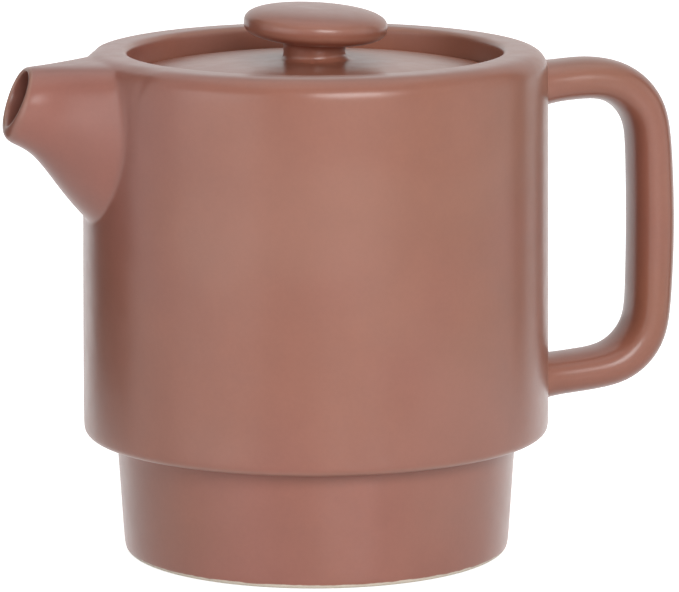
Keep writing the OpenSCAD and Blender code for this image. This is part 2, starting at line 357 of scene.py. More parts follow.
def rib(s, a, inset=0.0):
    """Points of the funnel at shares s of its length, at angles a from the top, drawn in by inset."""
    tilt = np.radians(mix(ROOT["tilt"], MOUTH["tilt"], s))
    box = mix(ROOT["box"], MOUTH["box"], np.clip(s / ROUND_AT, 0, 1) ** ROUNDING)
    waist = WAIST * np.sin(math.pi * np.clip(s, 0, 1) ** 1.5)
    power = np.where(np.cos(a) > 0, 2 / box, 1.0)
    half = mix(ROOT["half"], MOUTH["half"], s) - waist - inset
    dip = DIP * np.sin(math.pi * np.clip(s, 0, 1) ** 1.8)
    low = mix(ROOT["low"], MOUTH["low"], s) - waist - dip - inset
    rise = mix(ROOT["rise"], MOUTH["rise"], s) - inset
    up = np.where(np.cos(a) > 0, rise, low) * np.sign(np.cos(a)) * np.abs(np.cos(a)) ** power
    side = half * np.sign(np.sin(a)) * np.abs(np.sin(a)) ** power
    x = -mix(RIM_R - SINK, RIM_R + REACH, s) + up * np.sin(tilt)
    return np.stack([x, side, RIM_Z - mix(ROOT["drop"], MOUTH["drop"], s) + up * np.cos(tilt)], axis=1)


def leaves_body(a, inset=0.0, radius=None):
    """The share s at which each rib comes out of the body, or of a cylinder of that radius."""
    low, high = np.zeros(len(a)), np.ones(len(a))
    for _ in range(30):
        s = (low + high) / 2
        p = rib(s, a, inset)
        edge = body_r(p[:, 2]) if radius is None else radius
        outside = np.hypot(p[:, 0], p[:, 1]) > edge
        low, high = np.where(outside, low, s), np.where(outside, s, high)
    return high


# %% Spread the loop's numbers along the root
def even_angles(corners, counts):
    """Angles from corner to corner, evenly spaced along the root line."""
    found = []
    for (a, b), count in zip(zip(corners, corners[1:]), counts):
        fine = np.linspace(a, b, 400)
        line = rib(leaves_body(fine), fine)
        along = np.concatenate([[0], np.cumsum(np.linalg.norm(np.diff(line, axis=0), axis=1))])
        found.extend(np.interp(np.linspace(0, along[-1], count + 1)[:-1], along, fine))
    return np.array(found)


SPOUT_COLUMNS, SPOUT_ROWS = 10, 13
WINDOW_LOW = WALL_TOP - 8 * ROW
RIM_MIDDLE_R = (RIM_R - RIM_EDGE + OPENING_R + OPENING_EDGE) / 2


def spout_window(c):
    """The faces of the wall and of the outer half of the rim that the spout takes the place of."""
    turned, r = np.abs(np.arctan2(c[:, 1], -c[:, 0])), np.hypot(c[:, 0], c[:, 1])
    outside = (r > RIM_R - 1.5) | (c[:, 2] > RIM_Z - 1.6)
    return (turned < SPOUT_COLUMNS / 2 * COLUMN) & (c[:, 2] > WINDOW_LOW) & outside & (r > RIM_MIDDLE_R)


window = open_window(pot, spout_window, np.array([-RIM_MIDDLE_R, 0, RIM_Z]))
half = SPOUT_COLUMNS // 2
one_side = even_angles(np.radians([0, 45, 148, 180]), [half, SPOUT_ROWS, half])
angles = np.concatenate([one_side, [math.pi], math.tau - one_side[:0:-1]])
print("the window has", len(window), "points and the spout", len(angles), "ribs")

# %% [markdown]
# A ring is the set of points at the same share of every rib. The first rings lie on the wall itself.
# One of them marks where the fillet starts: about 3 mm beside the root at the sides, where the wall and
# the spout meet in a soft hollow, and little at the top. The next one is the root line, and from there
# on the rings leave the wall. Subdivision turns that corner in an arc as wide as the spacing of the
# three rings. Further out, the rings turn over the lip and come back inside as the channel, which ends
# at the pierced wall.

# %% Lay the root of the spout on the wall
FILLET, LEAST_FILLET, ROUND_FADE = 3.0, 1.3, 0.7
PAST_RIM_EDGE = 1.2         # how far a ring may lie on the flat of the rim
exit_s = leaves_body(angles)
root = rib(exit_s, angles)
root_turn = np.arctan2(root[:, 1], -root[:, 0])
above = np.cos(angles) > 0
fade = np.where(above, 1 - np.cos(angles), 1 + ROUND_FADE * np.cos(angles))
fillet = np.maximum(FILLET * fade, LEAST_FILLET)
root_length = length_at(root[:, 2])
way = along_line(root_turn, root_length)
out_side, out_up = -way[:, 1], way[:, 0]
start_turn = root_turn + out_side * fillet / RIM_R
start_length = np.minimum(root_length + out_up * fillet, WALL_TOP + ARC + PAST_RIM_EDGE)
fillet_start = on_body(math.pi - start_turn, start_length)

window_turn = np.arctan2(window[:, 1], -window[:, 0])
window_length = np.where(window[:, 2] > RIM_Z - 0.01,
                         WALL_TOP + ARC + RIM_R - RIM_EDGE - np.hypot(window[:, 0], window[:, 1]),
                         length_at(window[:, 2]))
between = on_body(math.pi - mix(window_turn, start_turn, 0.5), mix(window_length, start_length, 0.5))

pull(pot, between)
pull(pot, fillet_start)
pull(pot, root)

# %% Pull the funnel and turn it over the lip
RINGS, CHANNEL_RINGS = 6, 6
LENGTH = REACH + SINK
FUNNEL_END = 1 - LOW_LIP / LENGTH
MOUTH_WALL, CHANNEL_END_Z = 1.7, 98.0

leave = exit_s + fillet / LENGTH
for k in range(RINGS + 1):
    pull(pot, rib(mix(leave, FUNNEL_END, k / RINGS), angles))
lip = mix(LIP, LOW_LIP, ((1 - np.cos(angles)) / 2) ** 2)
for turned in np.radians([0, 30, 60, 90]):
    back, inset = lip * (1 - math.sin(turned)), lip * (1 - math.cos(turned))
    pull(pot, rib(1 - back / LENGTH, angles, inset))
for back, more in ((0.25, 0.35), (1.1, 0.7)):
    pull(pot, rib(np.full(len(angles), 1 - back / LENGTH), angles, lip + more))

# %% Come back inside as the channel
throat = MOUTH_WALL + lip / 2
channel_end = leaves_body(angles, WALL - 0.5, RIM_R)
for k in range(1, CHANNEL_RINGS + 1):
    s = mix(FUNNEL_END, channel_end, k / CHANNEL_RINGS)
    pull(pot, rib(s, angles, mix(WALL, throat, np.clip(s, 0, 1))))
end = rib(channel_end, angles, mix(WALL, throat, channel_end))
end_turn, end_z = np.arctan2(end[:, 1], -end[:, 0]), end[:, 2]
for share in (0.62, 0.25):
    turn_in, z_in = end_turn * share, mix(CHANNEL_END_Z, end_z, share)
    pull(pot, np.stack([-RIM_R * np.cos(turn_in), RIM_R * np.sin(turn_in), z_in], axis=1))
bpy.ops.object.mode_set(mode="EDIT")
bpy.ops.mesh.edge_face_add()
print("spout:", len(pot.data.polygons), "faces in the whole body now")

# %% [markdown]
# ## The handle
# A pulled strap, wider than thick. Its section is an oval with slightly full shoulders, a superellipse,
# as the potter's wet hand leaves it. It leaves the wall under the rim, rises a little, turns down in an
# even bend, swells in the grip and comes back to the wall above the step. The lower root is prepared
# first. Then the upper root is pulled along the whole loop, and its last ring is laid on the lower root
# and welded to it. A curve with a bevel could carry the strap too, but it would end inside the wall
# instead of growing out of it.

# %% The line and the section of the strap
STRAP_W, STRAP_T, STRAP_FULLNESS = 15.4, 9.5, 2.35
HANDLE_COLUMNS, HANDLE_ROWS = 6, 4
UPPER_BEND, LOWER_BEND, ARM_RISE = 13.6, 13.2, 1.4
BEND_SWELL, GRIP_SWELL, GRIP_BOW = 0.8, 0.5, 0.6
FLARE, FLARE_LENGTH, ROOT_FILLET = 1.6, 6, 1.1
ARM_STOPS = (56.2, 61.0)
UPPER_Z, LOWER_Z = RIM_Z - 9.0, 37.4
GRIP_TOP, GRIP_LOW = UPPER_Z - UPPER_BEND, LOWER_Z + LOWER_BEND
ROOT_X, TO_GRIP = RIM_R - WALL / 2, 27.0
GRIP_TOP_X, GRIP_LOW_X = wall_r(GRIP_TOP) + TO_GRIP, wall_r(GRIP_LOW) + TO_GRIP
UPPER_X, LOWER_X = GRIP_TOP_X - UPPER_BEND, GRIP_LOW_X - LOWER_BEND


def strap_section(extra=0.0, flare=0.0):
    """Places round the strap, from the middle of its outer face: across, and outwards."""
    w, t = STRAP_W + 2 * flare, STRAP_T + extra + 2 * flare
    turned = np.linspace(0, math.pi / 2, (HANDLE_COLUMNS + HANDLE_ROWS) // 2 + 1)
    across = w / 2 * np.sin(turned) ** (2 / STRAP_FULLNESS)
    out = t / 2 * np.cos(turned) ** (2 / STRAP_FULLNESS)
    across = np.concatenate([across, across[-2::-1]])
    out = np.concatenate([out, -out[-2::-1]])
    return np.concatenate([across, -across[-2:0:-1]]), np.concatenate([out, out[-2:0:-1]])


def flare_at(x):
    """How much the strap widens on each side where it runs into the wall."""
    return FLARE * np.clip(1 - (x - ROOT_X) / FLARE_LENGTH, 0, 1) ** 2


def arm_z(x, upper):
    """Height of the middle line of an arm."""
    t = np.clip((x - ROOT_X) / ((UPPER_X if upper else LOWER_X) - ROOT_X), 0, 1)
    return UPPER_Z - ARM_RISE * (1 - t) ** 2 if upper else LOWER_Z - ARM_RISE * (1 - t)


def arm_ring(stand_off, upper):
    """The ring of an arm at a distance from the wall, following the round of the wall."""
    across, out = strap_section(0, flare_at(RIM_R + stand_off))
    way = 1 if upper else -1
    x = np.full(len(across), RIM_R + stand_off)
    for _ in range(4):
        z = arm_z(x, upper) + way * out
        x = np.sqrt(wall_r(z) ** 2 - across**2) + stand_off
    return np.stack([x, across, arm_z(x, upper) + way * out], axis=1)


def strap_ring(x, z, turned, extra=0.0):
    """A flat ring across the strap, with its outer face turned to that angle above the level."""
    across, out = strap_section(extra, flare_at(x))
    return np.stack([x + out * math.cos(turned), across, z + out * math.sin(turned)], axis=1)


# %% Prepare a root on the wall
def strap_root(low, high, start_z, upper):
    """Opens a window for the strap and pulls the loop to the foot of the arm."""
    def strap_window(c):
        turned, r, z = np.abs(np.arctan2(c[:, 1], c[:, 0])), np.hypot(c[:, 0], c[:, 1]), c[:, 2]
        return (turned < HANDLE_COLUMNS / 2 * COLUMN) & (z > low) & (z < high) & (r > RIM_R - 2)

    loop = open_window(pot, strap_window, np.array([RIM_R, 0, start_z]))
    line = arm_ring(0.0, upper)
    turned, length = np.arctan2(line[:, 1], line[:, 0]), line[:, 2]
    way = along_line(turned, length)
    away = ROOT_FILLET if upper else -ROOT_FILLET
    start = np.stack([turned - away * way[:, 1] / RIM_R, length + away * way[:, 0]], axis=1)
    wide = np.stack([np.arctan2(loop[:, 1], loop[:, 0]), length_at(loop[:, 2])], axis=1)
    middle = mix(wide, start, 0.55)
    pull(pot, on_body(middle[:, 0], middle[:, 1]))
    pull(pot, on_body(start[:, 0], start[:, 1]))
    pull(pot, line)
    pull(pot, arm_ring(ROOT_FILLET, upper))


def pull_bend(x, z, radius, degrees):
    """Pulls the strap round a bend about the point x, z, thickest half way."""
    for turned in np.radians(degrees):
        swell = BEND_SWELL * abs(math.sin(2 * turned))
        pull(pot, strap_ring(x + radius * math.cos(turned), z + radius * math.sin(turned), turned, swell))


# %% Pull the strap
lower_start, upper_start = STEP_Z + STEP_EDGE / 2, 110.9
strap_root(lower_start, WALL_LOW + 3 * ROW, lower_start, False)
strap_root(WALL_TOP - 3 * ROW, upper_start + 0.1, upper_start, True)
for x in ARM_STOPS:
    pull(pot, strap_ring(x, arm_z(x, True), math.pi / 2))
pull_bend(UPPER_X, GRIP_TOP, UPPER_BEND, [90, 67.5, 45, 22.5, 0])
for t in (0.2, 0.4, 0.6, 0.8):
    middle = math.sin(math.pi * t)
    x = mix(GRIP_TOP_X, GRIP_LOW_X, t) + GRIP_BOW * middle
    pull(pot, strap_ring(x, mix(GRIP_TOP, GRIP_LOW, t), 0, GRIP_SWELL * middle))
pull_bend(LOWER_X, GRIP_LOW, LOWER_BEND, [0, -22.5, -45, -67.5, -90])
for x in ARM_STOPS[::-1]:
    pull(pot, strap_ring(x, arm_z(x, False), -math.pi / 2))
pull(pot, arm_ring(ROOT_FILLET, False))
weld(pot)

# %% [markdown]
# ## Smooth clay, then the strainer
# A Subdivision Surface turns the cage into clay: every corner becomes a round. It is applied, so that
# the mesh is what is rendered. The three strainer holes behind the spout are drilled
# afterwards with a boolean, as the potter pierces the wall when the pot is leather-hard.

# %% Subdivide, shade and count
def subdivide(obj, levels):
    pick(obj)
    bpy.ops.object.modifier_add(type="SUBSURF")
    smooth = obj.modifiers[-1]
    smooth.levels = smooth.render_levels = levels
    bpy.ops.object.modifier_apply(modifier=smooth.name)


def shade(obj, degrees):
    """Shades smooth, but for edges sharper than the given angle, and prints how the mesh turned out."""
    pick(obj)
    bpy.ops.object.shade_smooth_by_angle(angle=math.radians(degrees))
    triangles = sum(len(p.vertices) - 2 for p in obj.data.polygons)
    print(obj.name, "has", triangles, "triangles and", open_edges(obj), "open edges")


def open_edges(obj):
    """How many edges of obj don't have exactly two faces."""
    times = {}
    for polygon in obj.data.polygons:
        for key in polygon.edge_keys:
            times[key] = times.get(key, 0) + 1
    return sum(1 for n in times.values() if n != 2) + len(obj.data.edges) - len(times)


subdivide(pot, 2)

# %% Pierce the strainer
HOLE_D, HOLE_Z, HOLE_PITCH = 6.5, RIM_Z - 23, 7.9
DRILL_MIDDLE_X, DRILL_LENGTH = -44.3, 16.6
start_fresh()
drills = []
for aside, over in ((0, 0), (-HOLE_PITCH / 2, 1), (HOLE_PITCH / 2, 1)):
    height = HOLE_Z + over * HOLE_PITCH * math.sin(math.pi / 3)
    bpy.ops.mesh.primitive_cylinder_add(
        vertices=32, radius=HOLE_D / 2 * MM, depth=DRILL_LENGTH * MM,
        location=(DRILL_MIDDLE_X * MM, aside * MM, height * MM), rotation=(0, math.pi / 2, 0),
    )
    drills.append(bpy.context.object)
for drill in drills:
    drill.select_set(True)
bpy.ops.object.join()
drill = bpy.context.object
pick(pot)
bpy.ops.object.modifier_add(type="BOOLEAN")
pierce = pot.modifiers[-1]
pierce.operation, pierce.solver, pierce.object = "DIFFERENCE", "EXACT", drill
bpy.ops.object.modifier_apply(modifier=pierce.name)
bpy.data.objects.remove(drill)
shade(pot, 50)

# %% [markdown]
# ## The lid
# The lid is turned as well: a plate that lies on the seat and rises in a low dome to the stem, a collar
# under it that keeps it from slipping when the pot is tipped, and a stem with a mushroom knob. The
# knob's head is an oval with a slightly full edge, a superellipse again. The outline stops almost 4 mm
# short of the axis at its top, and Grid Fill closes that hole with squares, because a fan of triangles
# would show as a dimple in the gloss.

# %% Curves of the lid
KNOB_Z, KNOB_CROWN, KNOB_BELLY, KNOB_FULLNESS = 119.1, 4.2, 4.0, 2.8
KNOB_TOP_ANGLE = 80         # where the outline stops, in degrees above the knob's widest place


def dome(r):
    """A point of the lid's low dome, which falls faster towards its edge."""
    return (r, LID_EDGE_Z + (LID_TOP_Z - LID_EDGE_Z) * (1 - (r / LID_R) ** 3), 0, 0)


def knob_point(degrees):
    """A corner of the outline of the knob's head."""
    across, over = math.cos(math.radians(degrees)), math.sin(math.radians(degrees))
    height = (KNOB_CROWN if over > 0 else -KNOB_BELLY) * abs(over) ** (2 / KNOB_FULLNESS)
    return (KNOB_R * across ** (2 / KNOB_FULLNESS), KNOB_Z + height, 0, 0)


# %% Turn the lid
STEM_TOP_Z = KNOB_Z - 3.8
lid = draw_outline("teapot_lid", [
    (0, SEAT_Z, 0, 0),
    (COLLAR_IN_R, SEAT_Z, 0.6, 2),
    (COLLAR_IN_R, COLLAR_Z, 1.2, 2),
    (COLLAR_R, COLLAR_Z, 1.2, 2),
    (COLLAR_R, SEAT_Z, 0.6, 2),
    (LID_R - 0.8, SEAT_Z, 0.2, 1),
    (LID_R, SEAT_Z + 0.8, 0.3, 1),
    (LID_R, LID_EDGE_Z, 1.0, 3),
    *[dome(r) for r in (37.0, 32.5, 28.0, 22.5, 16.5)],
    (STEM_R, dome(STEM_R)[1], 1.8, 3),
    (STEM_R, STEM_TOP_Z, 1.2, 2),
    *[knob_point(a) for a in (-55, -43, -31, -20, -11, -3.5)],
    *[knob_point(a) for a in (3.5, 11, 20, 32, 46, 60, 71, KNOB_TOP_ANGLE)],
])
turn(lid)

# %% Close the top of the knob
co = points(lid)
choose(lid, (co[:, 2] > KNOB_Z) & (np.hypot(co[:, 0], co[:, 1]) < knob_point(KNOB_TOP_ANGLE)[0] + 0.5))
bpy.ops.mesh.fill_grid(span=COLUMNS // 4)
print("the knob reaches", round(points(lid)[:, 2].max(), 2), "mm")

# %% [markdown]
# The knob is set by hand, and no hand sets it quite straight: it leans towards the handle's side, nods
# a little to the front and stands half a millimetre off the axis. So its points are turned about the
# foot of the stem, and the plate stays level on its seat.

# %% Lean the knob
KNOB_LEAN, KNOB_NOD, KNOB_SHIFT, KNOB_PIVOT_Z = 2.8, 1.8, -0.5, 108.6
choose(lid, points(lid)[:, 2] > LID_TOP_Z + 1.5)
pivot = (KNOB_SHIFT * MM, 0, KNOB_PIVOT_Z * MM)
bpy.ops.transform.rotate(value=-math.radians(KNOB_LEAN), orient_axis="Y", center_override=pivot)
bpy.ops.transform.rotate(value=-math.radians(KNOB_NOD), orient_axis="X", center_override=pivot)
bpy.ops.transform.translate(value=(KNOB_SHIFT * MM, 0, 0))
bpy.ops.mesh.select_all(action="SELECT")
bpy.ops.mesh.normals_make_consistent(inside=False)
print("leaned, the knob reaches", round(points(lid)[:, 2].max(), 2), "mm")
subdivide(lid, 2)
shade(lid, 50)

# %% [markdown]
# ## How the glaze lies
# Glaze runs thin over outer edges, which are also lightened as a painted highlight, and hollows are
# darkened as a painted shade. Both follow the bend of the surface, which the mesh knows better than any
# texture. For every vertex, the bend towards its neighbours is averaged into an attribute, above 0 on
# outer edges and below 0 in hollows, and smoothed a few times.

# %% Store the bend of the surface
SMOOTHINGS = 3


def store_bend(obj):
    """Writes the curvature at every vertex, in 1/mm, to the attribute bend."""
    co = points(obj)
    mesh = obj.data
    normals = np.empty(len(co) * 3)
    mesh.vertices.foreach_get("normal", normals)
    normals = normals.reshape(-1, 3)
    ends = np.empty(len(mesh.edges) * 2, np.int64)
    mesh.edges.foreach_get("vertices", ends)
    a, b = ends.reshape(-1, 2).T
    bend, count = np.zeros(len(co)), np.zeros(len(co))
    for here, there in ((a, b), (b, a)):
        way = co[here] - co[there]
        np.add.at(bend, here, (normals[here] * way).sum(axis=1) / np.maximum((way**2).sum(axis=1), 1e-3))
        np.add.at(count, here, 1)
    bend /= np.maximum(count, 1)
    for _ in range(SMOOTHINGS):
        total, times = bend.copy(), np.ones(len(co))
        for here, there in ((a, b), (b, a)):
            np.add.at(total, here, bend[there])
            np.add.at(times, here, 1)
        bend = total / times
    if "place" in mesh.attributes:
        mesh.attributes.remove(mesh.attributes["place"])
    mesh.attributes.new("bend", "FLOAT", "POINT").data.foreach_set("value", np.clip(bend, -1, 1))
    print(obj.name, "bends from", round(bend.min(), 3), "to", round(bend.max(), 3), "per mm")


store_bend(pot)
store_bend(lid)

# %% [markdown]
# ## The glaze
# The photograph shows a satin glaze of dusty rose over stoneware. Seen close, it isn't one colour. It
# is warmer on the handle's half and pinker towards the spout, as a pot is that stood in the kiln with
# one side to the draught. Clouds of both tones drift over it, a few pale blotches show where it is
# thinner, and it is mottled over a few millimetres. At grazing angles it goes pale, which is plain
# Fresnel reflection of the white room and needs no node. The same glaze is on the pot and on the lid,
# so it is one node group, placed in each material with its own values. It puts out only a colour, a
# roughness and a height. These are the helpers that add and link its nodes.

# %% Adding and linking nodes
def node(tree, kind, place, **settings):
    made = tree.nodes.new(kind)
    made.location = place
    for key, value in settings.items():
        setattr(made, key, value)
    return made


def noise(tree, coordinates, place, scale, detail, roughness=0.5):
    made = node(tree, "ShaderNodeTexNoise", place)
    made.inputs["Scale"].default_value = scale
    made.inputs["Detail"].default_value = detail
    made.inputs["Roughness"].default_value = roughness
    tree.links.new(coordinates, made.inputs["Vector"])
    return made.outputs["Fac"]


def map_range(tree, value, place, low, high, to_low, to_high):
    """A soft step from to_low, where the value is low, to to_high, where it is high."""
    made = node(tree, "ShaderNodeMapRange", place, interpolation_type="SMOOTHSTEP")
    tree.links.new(value, made.inputs["Value"])
    for name, number in (("From Min", low), ("From Max", high), ("To Min", to_low), ("To Max", to_high)):
        made.inputs[name].default_value = number
    return made.outputs["Result"]


def blend(tree, factor, a, b, place, how="MIX"):
    """A colour mix, whose inputs may be sockets or plain colours."""
    made = node(tree, "ShaderNodeMix", place, data_type="RGBA", blend_type=how)
    for socket_in, value in ((made.inputs[0], factor), (made.inputs[6], a), (made.inputs[7], b)):
        if isinstance(value, bpy.types.NodeSocket):
            tree.links.new(value, socket_in)
        else:
            socket_in.default_value = value
    return made.outputs[2]


def maths(tree, how, a, b, place):
    """A sum on two values, which may be sockets or plain numbers."""
    made = node(tree, "ShaderNodeMath", place, operation=how)
    for socket_in, value in ((made.inputs[0], a), (made.inputs[1], b)):
        if isinstance(value, bpy.types.NodeSocket):
            tree.links.new(value, socket_in)
        else:
            socket_in.default_value = value
    return made.outputs[0]


# %% [markdown]
# The group starts with the two tones and how they drift into each other. The size of a noise is how
# many waves it has in a metre: 14 for the clouds, 24 for the blotches, 90 for the mottling, 1100 for
# the grain. Last come the places where the bend of the surface shows: the pale, thin glaze on outer
# edges, which is partly a painted highlight, and a darker tint in hollows, which is painted shade.

# %% Node group of the glaze
CLOUDS, BLOTCHES, MOTTLES, GRAIN, DULL_SPOTS, WAVES, PEEL = 14, 24, 90, 1100, 260, 75, 900
# The first is the tint of the painted shade in hollows.
HOLLOW_SHADE_TINT, PEEL_SHARE = (0.78, 0.70, 0.68, 1), 0.05


def noise_mask(tree, coordinates, height, scale, detail, spread, result, roughness=0.5):
    """A noise whose values in the given spread are stretched over the result."""
    raw = noise(tree, coordinates, (-700, height), scale, detail, roughness)
    return map_range(tree, raw, (-500, height), *spread, *result)


def glaze_sockets(group):
    """The inputs and outputs of the glaze."""
    # The third colour is the pale one of thin glaze; on outer edges it is also a painted highlight.
    for name in ("Warm", "Rose", "Thin_and_sheen"):
        group.interface.new_socket(name=name, in_out="INPUT", socket_type="NodeSocketColor")
    for name in ("Mottling", "Roughness"):
        made = group.interface.new_socket(name=name, in_out="INPUT", socket_type="NodeSocketFloat")
        made.min_value, made.max_value = 0, 1
    for name, kind in (("Color", "Color"), ("Roughness", "Float"), ("Height", "Float")):
        group.interface.new_socket(name=name, in_out="OUTPUT", socket_type="NodeSocket" + kind)


def glaze_tones(group, given, coordinates):
    """The colour of the glaze on an even wall: two tones, mottling and grain."""
    sides = node(group, "ShaderNodeSeparateXYZ", (-700, 500))
    group.links.new(coordinates, sides.inputs[0])
    spout_side = map_range(group, sides.outputs["X"], (-500, 500), 0.03, -0.03, 0, 0.35)
    clouds = noise_mask(group, coordinates, 300, CLOUDS, 2, (0.38, 0.62), (0, 0.5))
    drift = maths(group, "ADD", spout_side, clouds, (-400, 400))
    colour = blend(group, drift, given.outputs["Warm"], given.outputs["Rose"], (-300, 300))
    mottles = noise_mask(group, coordinates, 50, MOTTLES, 4, (0.3, 0.7), (0.9, 1.1), 0.6)
    grain = noise_mask(group, coordinates, -200, GRAIN, 3, (0.25, 0.75), (0.95, 1.05))
    tone = maths(group, "MULTIPLY", mottles, grain, (-300, -50))
    tone = maths(group, "SUBTRACT", tone, 1.0, (-150, -50))
    tone = maths(group, "MULTIPLY_ADD", tone, given.outputs["Mottling"], (0, -50))
    tone.node.inputs[2].default_value = 1.0
    grey = node(group, "ShaderNodeCombineColor", (150, -50))
    for name in ("Red", "Green", "Blue"):
        group.links.new(tone, grey.inputs[name])
    return blend(group, 1.0, colour, grey.outputs[0], (300, 200), "MULTIPLY")


def glaze_group():
    group = bpy.data.node_groups.new("satin_glaze", "ShaderNodeTree")
    glaze_sockets(group)
    given = node(group, "NodeGroupInput", (-900, 0))
    out = node(group, "NodeGroupOutput", (900, 0))
    coordinates = node(group, "ShaderNodeTexCoord", (-900, -300)).outputs["Object"]
    colour = glaze_tones(group, given, coordinates)

    bend = node(group, "ShaderNodeAttribute", (-700, -500), attribute_name="bend").outputs["Fac"]
    # On outer edges the colour turns to the pale one: thinner glaze, and a painted highlight with it.
    thin_edge_and_sheen = map_range(group, bend, (-500, -450), 0.06, 0.30, 0, 0.55)
    # In hollows the colour is darkened: a painted shade.
    hollow_shade = map_range(group, bend, (-500, -700), -0.04, -0.25, 0, 0.2)
    colour = blend(group, thin_edge_and_sheen, colour, given.outputs["Thin_and_sheen"], (450, 200))
    blotches = noise_mask(group, coordinates, 750, BLOTCHES, 1, (0.48, 0.72), (0, 0.13))
    colour = blend(group, blotches, colour, given.outputs["Thin_and_sheen"], (520, 400))
    # The darkened copy of the colour, the painted shade for the hollows.
    hollow_shaded = blend(group, 1.0, colour, HOLLOW_SHADE_TINT, (450, 0), "MULTIPLY")
    colour = blend(group, hollow_shade, colour, hollow_shaded, (620, 200))
    group.links.new(colour, out.inputs["Color"])

    dull = noise_mask(group, coordinates, -900, DULL_SPOTS, 3, (0.3, 0.7), (-0.02, 0.02))
    rough = maths(group, "ADD", given.outputs["Roughness"], dull, (300, -300))
    group.links.new(rough, out.inputs["Roughness"])
    waves = noise(group, coordinates, (-700, -1150), WAVES, 1)
    peel = noise(group, coordinates, (-700, -1400), PEEL, 2)
    peel = maths(group, "MULTIPLY", peel, PEEL_SHARE, (-500, -1400))
    group.links.new(maths(group, "ADD", waves, peel, (300, -1150)), out.inputs["Height"])
    return group


GLAZE = glaze_group()
print("glaze group puts out", [s.name for s in GLAZE.interface.items_tree if s.in_out == "OUTPUT"])

# %% [markdown]
# ## Two materials
# The group feeds a Principled shader. Satin glaze has two glosses: a broad one of the matt crystals in
# it, and over it a weak, tighter one of the glassy skin, which is the coat. On the pot, the ring it
# stands on is wiped free of glaze before firing, so the cream clay shows there as a thin, slightly
# ragged line along the bottom edge.

# %% Glaze on pot and lid
ROSE_GLAZE = {
    "Warm": (0.346, 0.135, 0.084, 1),
    "Rose": (0.352, 0.132, 0.102, 1),
    # The pale colour of thin glaze, also painted as a highlight on outer edges
    "Thin_and_sheen": (0.48, 0.28, 0.21, 1),
    "Mottling": 0.3,
    "Roughness": 0.31,
}
SATIN = {"IOR": 1.45, "Coat Weight": 0.18, "Coat Roughness": 0.24, "Coat IOR": 1.5}
CREAM_CLAY, CLAY_ROUGHNESS = (0.86, 0.78, 0.66, 1), 0.85
WIPED_LOW, WIPED_HIGH, RAGGED = 0.0007, 0.0009, 0.0006
WAVE_HEIGHT, WAVE_STRENGTH = 0.0004, 0.25


def wipe_foot(tree, colour, rough):
    """Lays bare clay under a ragged line just above the table."""
    coordinates = node(tree, "ShaderNodeTexCoord", (-600, -400)).outputs["Object"]
    height = node(tree, "ShaderNodeSeparateXYZ", (-400, -400))
    tree.links.new(coordinates, height.inputs[0])
    ragged = noise(tree, coordinates, (-400, -600), 300, 2)
    line = maths(tree, "MULTIPLY_ADD", ragged, -RAGGED, (-200, -500))
    tree.links.new(height.outputs["Z"], line.node.inputs[2])
    bare = map_range(tree, line, (0, -400), WIPED_LOW, WIPED_HIGH, 1, 0)
    colour = blend(tree, bare, colour, CREAM_CLAY, (200, 0))
    dull = maths(tree, "MULTIPLY", bare, CLAY_ROUGHNESS, (200, -400))
    return colour, maths(tree, "MAXIMUM", rough, dull, (400, -300))


def glaze_material(name, look, wiped):
    material = bpy.data.materials.new(name)
    material.use_nodes = True
    tree = material.node_tree
    shader = tree.nodes["Principled BSDF"]
    shader.location = (600, 0)
    glaze = node(tree, "ShaderNodeGroup", (-200, 0), node_tree=GLAZE)
    for key, value in look.items():
        glaze.inputs[key].default_value = value
    colour, rough = glaze.outputs["Color"], glaze.outputs["Roughness"]
    if wiped:
        colour, rough = wipe_foot(tree, colour, rough)
    tree.links.new(colour, shader.inputs["Base Color"])
    tree.links.new(rough, shader.inputs["Roughness"])
    bump = node(tree, "ShaderNodeBump", (300, -600))
    bump.inputs["Strength"].default_value = WAVE_STRENGTH
    bump.inputs["Distance"].default_value = WAVE_HEIGHT
    tree.links.new(glaze.outputs["Height"], bump.inputs["Height"])
    tree.links.new(bump.outputs["Normal"], shader.inputs["Normal"])
    for key, value in SATIN.items():
        shader.inputs[key].default_value = value
    return material


pot.data.materials.append(glaze_material("pot_glaze", ROSE_GLAZE, wiped=True))
lid.data.materials.append(glaze_material("lid_glaze", ROSE_GLAZE, wiped=False))

# %% Hang the pieces on the root and hide the CAD nodes they stand for
for piece, cad_node, slot_name in ((pot, "pot", "pot_glaze"), (lid, "lid", "lid_glaze")):
    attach(piece, "root")
    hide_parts(cad_node)
    print(piece.name, "stands for", cad_node)

# %% [markdown]
# ## The camera
# The photograph is taken from a little above, with a long lens: the rim is a flat ellipse and the
# verticals stay upright. Place, turn and lens were found by matching outlines, with the lens unshifted,
# so the camera itself looks down by 10 degrees. The pot's spout is turned 18 degrees towards it. The
# turns are in radians and the place in millimetres, both before that last turn.

# %% Set up the camera
TURNED = math.radians(18.0)
YAW, PITCH, ROLL = -0.019271, 0.17885, -0.001783
CAMERA_PLACE = Vector((27.38, -1144.0, 264.45))
FOCAL_PIXELS, PICTURE_WIDTH, SENSOR_MM = 5172.06, 679, 36
ahead = Vector((math.sin(YAW) * math.cos(PITCH), math.cos(YAW) * math.cos(PITCH), -math.sin(PITCH)))
right = Vector((math.cos(YAW), -math.sin(YAW), 0))
up = right.cross(ahead)
across = right * math.cos(ROLL) + up * math.sin(ROLL)
upright = up * math.cos(ROLL) - right * math.sin(ROLL)
looks = Matrix((across, upright, -ahead)).transposed()
to_pot = Matrix.Rotation(-TURNED, 3, "Z")
start_fresh()
bpy.ops.object.camera_add(location=to_pot @ CAMERA_PLACE * MM, rotation=(to_pot @ looks).to_euler())
camera = bpy.context.object
camera.data.lens = FOCAL_PIXELS / PICTURE_WIDTH * SENSOR_MM
camera.data.clip_start, camera.data.clip_end = 0.01, 20
bpy.context.scene.camera = camera
